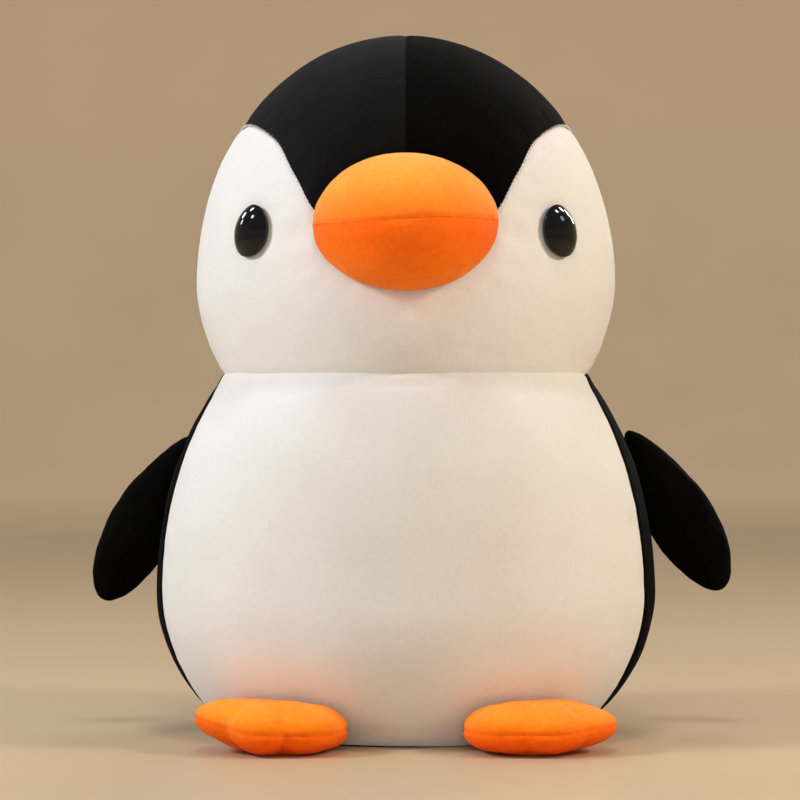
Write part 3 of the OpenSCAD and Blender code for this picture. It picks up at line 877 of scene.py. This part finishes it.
# ---- Torso ----
zs = BODY_TOP * (1 - np.cos(math.pi * mix(0.03, 0.97, np.linspace(0, 1, 100))))
zs = (zs - zs[0]) / (zs[-1] - zs[0]) * BODY_TOP
fine_z = np.linspace(0, BODY_TOP, 400)
left_seam = body_at(seam_turn(fine_z) - BELLY_TURN, fine_z)
right_seam = body_at(-(seam_turn(fine_z) + BELLY_TURN), fine_z)
back_seam = body_at(np.full(400, 180.0), fine_z)
turns = np.linspace(0, 360, 500)
base_ring = body_at(turns, np.zeros(500))
collar_ring = body_at(turns, np.full(500, BODY_TOP))
body_lines = [
    Seam(left_seam, 1.3, 2.2, 0.6, 8.0, 8.0, 41),
    Seam(right_seam, 1.3, 2.2, 0.6, 8.0, 8.0, 42),
    Seam(back_seam, 1.1, 2.2, 0.7, 8.0, 9.0, 43),
    Seam(collar_ring, 0.6, 2.4, 0.6, 15.0, 14.0, 44),
]


body_rows = np.stack([body_at(np.linspace(0, 360, 109)[:-1], z) for z in np.linspace(0, BODY_TOP, 48)])
body_puff = puffed(
    "body_cloth",
    *closed(body_rows, [0, 0, 0], [0, 0, BODY_TOP]),
    (0, 0, BODY_MID),
    6.0,
    body_lines,
    lambda p: np.maximum(1 - smooth((p[:, 2] - 3) / 14), smooth((p[:, 2] - BODY_TOP + 5) / 3)),
)


def torso_panel(name, left, right, cols):
    u = 0.5 - 0.5 * np.cos(math.pi * np.linspace(0, 1, cols))
    u = mix(np.linspace(0, 1, cols), u, 0.6)
    z = np.repeat(zs[:, None], cols, 1)
    turn = mix(left(z), right(z), u[None, :])
    p = body_at(turn, z)
    n, m = p.shape[:2]
    return make_mesh(name, p.reshape(-1, 3), grid_faces(n, m), (0, 0, BODY_MID))


def chest_form(p):
    """The chest dips a little in the middle, where the stuffing sits to either side."""
    high = smooth((p[:, 2] - 120) / 90)
    front = smooth(-p[:, 1] / 60)
    high = high * (1 - smooth((p[:, 2] - BODY_TOP + 34) / 26))
    valley = 0.6 * np.exp(-(((p[:, 0] - 6) / 24) ** 2)) * high * front
    cheek = 0.8 * np.exp(-(((np.abs(p[:, 0]) - 62) / 26) ** 2 + ((p[:, 2] - 196) / 26) ** 2)) * front
    return cheek - valley + neck_fill(p)


belly = torso_panel(
    "belly_plush", lambda z: -(seam_turn(z) + BELLY_TURN), lambda z: seam_turn(z) - BELLY_TURN, 170
)
back_left = torso_panel("back_left_plush", lambda z: seam_turn(z) - BELLY_TURN, lambda z: 180 + 0 * z, 96)
back_right = torso_panel(
    "back_right_plush", lambda z: -(seam_turn(z) + BELLY_TURN), lambda z: -180 + 0 * z, 96
)
for ob, mat, slot_name, cad, seed in (
    (belly, WHITE, "white_plush", ["belly_panel", "torso_filling"], 5),
    (back_left, BLACK, "black_plush", ["back_panel_left"], 5),
    (back_right, BLACK, "black_plush", ["back_panel_right"], 5),
):
    dress(ob, body_lines, 0.9, 60, seed, chest_form if ob is belly else neck_fill, 3.0, body_puff, 0.9)
    keep_above_floor(ob)
    finish_piece(ob, mat, cad)

a = np.linspace(0, 2 * math.pi, 181)[:-1]
r0 = float(body_w(np.array(0.0)))
share = np.array([0.02, 0.2, 0.4, 0.6, 0.75, 0.86, 0.93, 0.965, 0.985, 0.99])
lift = np.array([0.0, 0.0, 0.0, 0.0, 0.0, 0.0, 0.0, 0.0, 0.6, 2.2])
ring = np.stack(
    [
        r0 * share[:, None] * np.sin(a),
        -r0 * BODY_DEPTH * share[:, None] * np.cos(a),
        lift[:, None] + 0 * a,
    ],
    -1,
)
n, m = ring.shape[:2]
faces = [tuple(f) for f in grid_faces(n, m, True)] + [(n * m, (j + 1) % m, j) for j in range(m)]
base = make_mesh("base_plush", np.concatenate([ring.reshape(-1, 3), [[0, 0, 0]]]), faces, (0, 0, 60))
finish_piece(base, BLACK, ["base_panel"])

# ---- Neck seam thread ----
turn = np.linspace(0, 2 * math.pi, 361)[:-1]
tube = []
for b in 2 * math.pi * np.arange(10) / 10:
    rr = THREAD_R * (1 + 0.25 * np.cos(2 * (b + turn * THREAD_PLIES)))
    out = THREAD_RING + rr * np.cos(b)
    tube.append(np.stack([out * np.sin(turn), -out * np.cos(turn), NECK_Z - 1.4 + rr * np.sin(b)], -1))
tube = np.array(tube)
n, m = tube.shape[:2]
faces = [tuple(f) for f in grid_faces(n, m, True)]
faces += [((n - 1) * m + j, (n - 1) * m + (j + 1) % m, (j + 1) % m, j) for j in range(m)]
neck_thread = make_mesh("neck_thread", tube.reshape(-1, 3), faces, (0, 0, NECK_Z))
finish_piece(neck_thread, THREAD, ["neck_seam", "neck_filling"])

# ---- Flippers ----


def flipper_point(theta, r, face, hang, gap):
    c = np.cos(theta)
    half = FLIPPER_LONG / 2
    length = half - 7 + half * r * c
    across = (FLIPPER_HALF + FLIPPER_TIP * c - FLIPPER_ENDS * c * c) * r * np.sin(theta)
    y = FLIPPER_Y + face * FLIPPER_THICK * np.sqrt(np.maximum(0, 1 - r * r))
    s = math.radians(hang[2])
    x = hang[0] + length * math.sin(s) + across * math.cos(s)
    z = hang[1] - length * math.cos(s) + across * math.sin(s)
    return np.stack([np.maximum(x, body_side(y, z) + gap), y, z], -1)


SKIN_SHARES = [0.15, 0.4, 0.65, 0.85, 0.96, 1.0]


def cushion_rim(point, args, theta, mirror):
    """Closed line round a flat cushion. point(theta, share, face, *args) gives the cushion's surface."""
    rim = point(theta, np.ones(len(theta)), 1, *args)
    return np.concatenate([rim, rim[:1]]) * mirror


def cushion_skin(point, args, theta, first):
    """Coarse closed skin over both faces of a cushion, from the face named first to the other."""
    few = theta[::3]
    loop = [point(few, np.full(len(few), r), first, *args) for r in SKIN_SHARES]
    loop += [point(few, np.full(len(few), r), -first, *args) for r in SKIN_SHARES[-2::-1]]
    return closed(loop, loop[0].mean(0), loop[-1].mean(0))


def cushion_panel(name, point, args, theta, rings, face, mirror, centre):
    """Fine mesh of one face of a cushion."""
    shares = np.sin(np.linspace(0.02, 1, rings) * math.pi / 2)
    rr, tt = np.meshgrid(shares, theta, indexing="ij")
    p = point(tt, rr, face, *args)
    hub = point(np.array([0.0]), np.array([0.0]), face, *args)
    verts = np.concatenate([p.reshape(-1, 3), hub]) * mirror
    return make_mesh(name, verts, fan_faces(*p.shape[:2]), centre)


FLIPPER_RINGS, FLIPPER_ROUND = 28, 150
flippers = {}
for side, word in SIDES:
    hang, mirror = HANG[word], MIRROR[word]
    shape = (hang, FLIPPER_GAP)
    theta = np.linspace(0, 2 * math.pi, FLIPPER_ROUND + 1)[:-1]
    seams = [Seam(cushion_rim(flipper_point, shape, theta, mirror), 0.3, 1.6, 0.5, 6.0, 6.0, 51 + side)]
    skin, skin_faces = cushion_skin(flipper_point, shape, theta, -1)
    centre = np.array([hang[0] + 28, FLIPPER_Y, hang[1] - 45]) * mirror
    puff = puffed(
        f"flipper_{word}_cloth",
        skin * mirror,
        skin_faces,
        centre,
        3.5,
        seams,
        lambda p: smooth((p[:, 2] - hang[1] + 16) / 8),
    )
    panels = []
    for facing, label in ((-1, "front"), (1, "back")):
        name = f"flipper_{word}_{label}_plush"
        ob = cushion_panel(name, flipper_point, shape, theta, FLIPPER_RINGS, facing, mirror, centre)
        dress(ob, seams, 0.8, 24, 8 + facing, None, 1.5, puff)
        cad = [f"flipper_{word}_{label}"] + ([f"flipper_{word}_filling"] if facing < 0 else [])
        finish_piece(ob, BLACK, cad)
        panels.append(ob)
    flippers[word] = panels

# ---- Feet ----


def foot_point(theta, r, up, toe, gap):
    deg = np.degrees(theta) % 360
    front = smooth((98 - np.minimum(deg, 360 - deg)) / 28)
    web = (1 - ((np.cos(3 * theta) ** 2 + TOE_SOFT) / (1 + TOE_SOFT)) ** 0.25) * toe[2]
    toes = TOE_BULGE * (1 - 2.2 * web) * front
    reach = 1 / np.sqrt((np.sin(theta) / FOOT_HALF) ** 2 + (np.cos(theta) / FOOT_LONG) ** 2) + toes
    across, ahead = reach * r * np.sin(theta), reach * r * np.cos(theta)
    s = math.radians(FOOT_SPLAY)
    x = FOOT_X + across * math.cos(s) + ahead * math.sin(s)
    y = -FOOT_Y + across * math.sin(s) - ahead * math.cos(s)
    outer = smooth((x - FOOT_X - 6) / 44)
    hollow = TOE_HOLLOW * web * front * smooth((r - 0.45) / 0.5)
    high = FOOT_THICK * (0.55 * (1 - hollow) if up > 0 else 0.45 * (1 - 0.7 * hollow))
    high = high * (1 - (1 if up > 0 else 0.5) * toe[1] * outer)
    curve = np.sqrt(np.maximum(0, 1 - r ** (3.0 if up > 0 else 4.2)))
    z = FOOT_THICK * 0.45 + toe[0] * outer + up * high * curve
    return np.stack([x, np.minimum(y, -body_front(x, z) - gap - HEEL_LEAN * z), z], -1)


FOOT_RINGS, FOOT_ROUND = 30, 180
feet = {}
for side, word in SIDES:
    mirror = MIRROR[word]
    shape = (OUTER_TOE[word], HEEL_GAP)
    theta = np.linspace(0, 2 * math.pi, FOOT_ROUND + 1)[:-1]
    seams = [Seam(cushion_rim(foot_point, shape, theta, mirror), 0.8, 1.5, 0.9, 5.5, 6.0, 61 + side)]
    skin, skin_faces = cushion_skin(foot_point, shape, theta, 1)
    centre = np.array([FOOT_X, -FOOT_Y, FOOT_THICK * 0.5]) * mirror
    puff = puffed(
        f"foot_{word}_cloth",
        skin * mirror,
        skin_faces,
        centre,
        3.5,
        seams,
        lambda p: 1 - smooth((p[:, 2] - 1) / 3),
    )
    panels = []
    for up, label in ((1, "upper"), (-1, "sole")):
        name = f"foot_{word}_{label}_plush"
        ob = cushion_panel(name, foot_point, shape, theta, FOOT_RINGS, up, mirror, centre)
        dress(ob, seams, 0.8, 20, 12 + up, None, 1.5, puff)
        keep_above_floor(ob)
        cad = [f"foot_{word}_{label}"] + ([f"foot_{word}_filling"] if up > 0 else [])
        finish_piece(ob, ORANGE if up > 0 else SOLE_PAINTED_SHADE, cad)
        panels.append(ob)
    feet[word] = panels

# ---- Motion ----
for ob in head_pieces + stitches:
    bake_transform(ob)
for ob in (belly, back_left, back_right):
    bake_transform(ob)
for ob in beak_pieces + eyes:
    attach(ob, "head")
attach(base, "torso")
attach(neck_thread, "neck")
for _, word in SIDES:
    for ob in flippers[word]:
        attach(ob, f"flipper_{word}")
    for ob in feet[word]:
        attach(ob, f"foot_{word}")
for _, word in SIDES:
    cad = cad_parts[f"eye_washer_{word}"]
    cad.data.materials.clear()
    cad.data.materials.append(WASHER)

# ---- Stage, light and camera ----
STAGE_FLAT, STAGE_BEND, STAGE_HIGH, STAGE_ROUND = 4.0, 0.9, 2.0, 72


def pale_floor():
    """Warm tabletop that glows more with distance, so that it fades evenly into the wall."""
    mat, t, shader, where = new_material("pale_floor")
    patches = node(t, "ShaderNodeTexNoise", Scale=3.0, Detail=3.0)
    t.links.new(where.outputs["Object"], patches.inputs["Vector"])
    tone = node(t, "ShaderNodeValToRGB")
    tone.color_ramp.elements[0].color = (0.52, 0.39, 0.25, 1)
    tone.color_ramp.elements[1].color = (0.58, 0.45, 0.30, 1)
    t.links.new(patches.outputs["Fac"], tone.inputs["Fac"])
    t.links.new(tone.outputs["Color"], shader.inputs["Base Color"])
    shader.inputs["Roughness"].default_value = 0.45
    far = node(t, "ShaderNodeVectorMath", operation="LENGTH")
    t.links.new(where.outputs["Object"], far.inputs[0])
    glow = node(t, "ShaderNodeMapRange", interpolation_type="SMOOTHSTEP")
    glow.inputs["From Min"].default_value = 0.8
    glow.inputs["From Max"].default_value = 4.4
    glow.inputs["To Max"].default_value = 0.38
    t.links.new(far.outputs["Value"], glow.inputs["Value"])
    t.links.new(tone.outputs["Color"], shader.inputs["Emission Color"])
    t.links.new(glow.outputs["Result"], shader.inputs["Emission Strength"])
    return mat


sweep = [(2.0, 0.0), (STAGE_FLAT, 0.0)]
for q in np.linspace(0.1, math.pi / 2, 14):
    sweep.append((STAGE_FLAT + STAGE_BEND * math.sin(q), STAGE_BEND - STAGE_BEND * math.cos(q)))
sweep.append((STAGE_FLAT + STAGE_BEND, STAGE_HIGH))
spokes = [2 * math.pi * k / STAGE_ROUND for k in range(STAGE_ROUND)]
verts = [(r * math.cos(q), r * math.sin(q), z) for r, z in sweep for q in spokes]
faces = [tuple(map(int, f)) for f in grid_faces(len(sweep), STAGE_ROUND, True)]
faces += [(len(verts), (k + 1) % STAGE_ROUND, k) for k in range(STAGE_ROUND)]
me = bpy.data.meshes.new("floor_sweep")
me.from_pydata(verts + [(0.0, 0.0, 0.0)], [], faces)
for p in me.polygons:
    p.use_smooth = True
floor = bpy.data.objects.new("floor_sweep", me)
bpy.context.scene.collection.objects.link(floor)
me.materials.append(pale_floor())


def area_light(name, place, target, size, power, colour):
    data = bpy.data.lights.new(name, "AREA")
    data.shape, data.size = "DISK", size
    data.energy, data.color = power, colour
    ob = bpy.data.objects.new(name, data)
    ob.location = place
    ob.rotation_euler = (Vector(target) - Vector(place)).to_track_quat("-Z", "Y").to_euler()
    bpy.context.scene.collection.objects.link(ob)
    ob.visible_camera = False
    return ob


for light in (
    area_light("window", (-1.55, -0.5, 1.08), (0, 0, 0.22), 0.42, 22, (0.86, 0.93, 1.0)),
    area_light("lamp", (1.55, -0.5, 1.08), (0, 0, 0.20), 0.36, 17, (1.0, 0.87, 0.68)),
    area_light("front", (0, -2.25, 0.50), (0, 0, 0.12), 0.9, 9.5, (1.0, 0.96, 0.93)),
    area_light("ceiling", (0, -0.5, 1.95), (0, -0.1, 0.1), 0.4, 8, (1.0, 0.96, 0.88)),
    area_light("behind", (0.2, 1.1, 1.7), (0, 0, 0.3), 0.9, 12, (1.0, 0.94, 0.86)),
):
    light.visible_glossy = False


CAMERA_AT = (0, -2.0, 0.230)


def mirrored_lamp(name, side, across, up, size, power):
    """Lamp placed where an eye mirrors it at a chosen spot, in shares of the eye's half size."""
    x, y, z = eye_axes()
    r = EYE_R * math.hypot(across, up)
    facet = x * (EYE_R * across / EYE_OVAL) + y * (EYE_R * up) + z * math.sqrt(DOME_R**2 - r**2)
    facet.normalize()
    facet.x *= side
    spot = Vector(eye_point) * MM
    spot.x *= side
    sight = (Vector(CAMERA_AT) - spot).normalized()
    ray = facet * (2 * facet.dot(sight)) - sight
    light = area_light(name, spot + ray * 2.1, spot, size, power, (0.97, 0.98, 1.0))
    light.visible_diffuse = False


# Side of the eye, place across and up in it, and size and power of the lamp.
GLINTS = (
    (1, -0.38, 0.70, 0.34, 9.0),
    (1, -0.06, 0.78, 0.40, 12.0),
    (1, 0.22, 0.64, 0.40, 12.0),
    (1, 0.40, 0.38, 0.30, 6.0),
    (1, -0.28, 0.40, 0.50, 4.0),
    (-1, -0.20, 0.78, 0.36, 10.0),
    (-1, 0.12, 0.54, 0.40, 12.0),
    (-1, 0.10, 0.26, 0.36, 5.0),
    (-1, -0.42, 0.48, 0.36, 9.0),
)
for k, glint in enumerate(GLINTS):
    mirrored_lamp(f"spark_{k}", *glint)

world = bpy.data.worlds.new("studio")
bpy.context.scene.world = world
world.use_nodes = True
world.node_tree.nodes["Background"].inputs["Color"].default_value = (0.96, 0.93, 0.89, 1)
world.node_tree.nodes["Background"].inputs["Strength"].default_value = 0.22

cam_data = bpy.data.cameras.new("camera")
cam_data.sensor_width = 36
cam_data.lens = 138.6
cam_data.shift_x = -0.0070
cam_data.shift_y = -0.031
cam_data.clip_start, cam_data.clip_end = 0.1, 20
camera = bpy.data.objects.new("camera", cam_data)
camera.location = CAMERA_AT
camera.rotation_euler = (math.pi / 2, 0, 0)
bpy.context.scene.collection.objects.link(camera)
bpy.context.scene.camera = camera

view = bpy.context.scene.view_settings
view.view_transform = "Standard"
view.look = "None"
view.exposure = 0.0
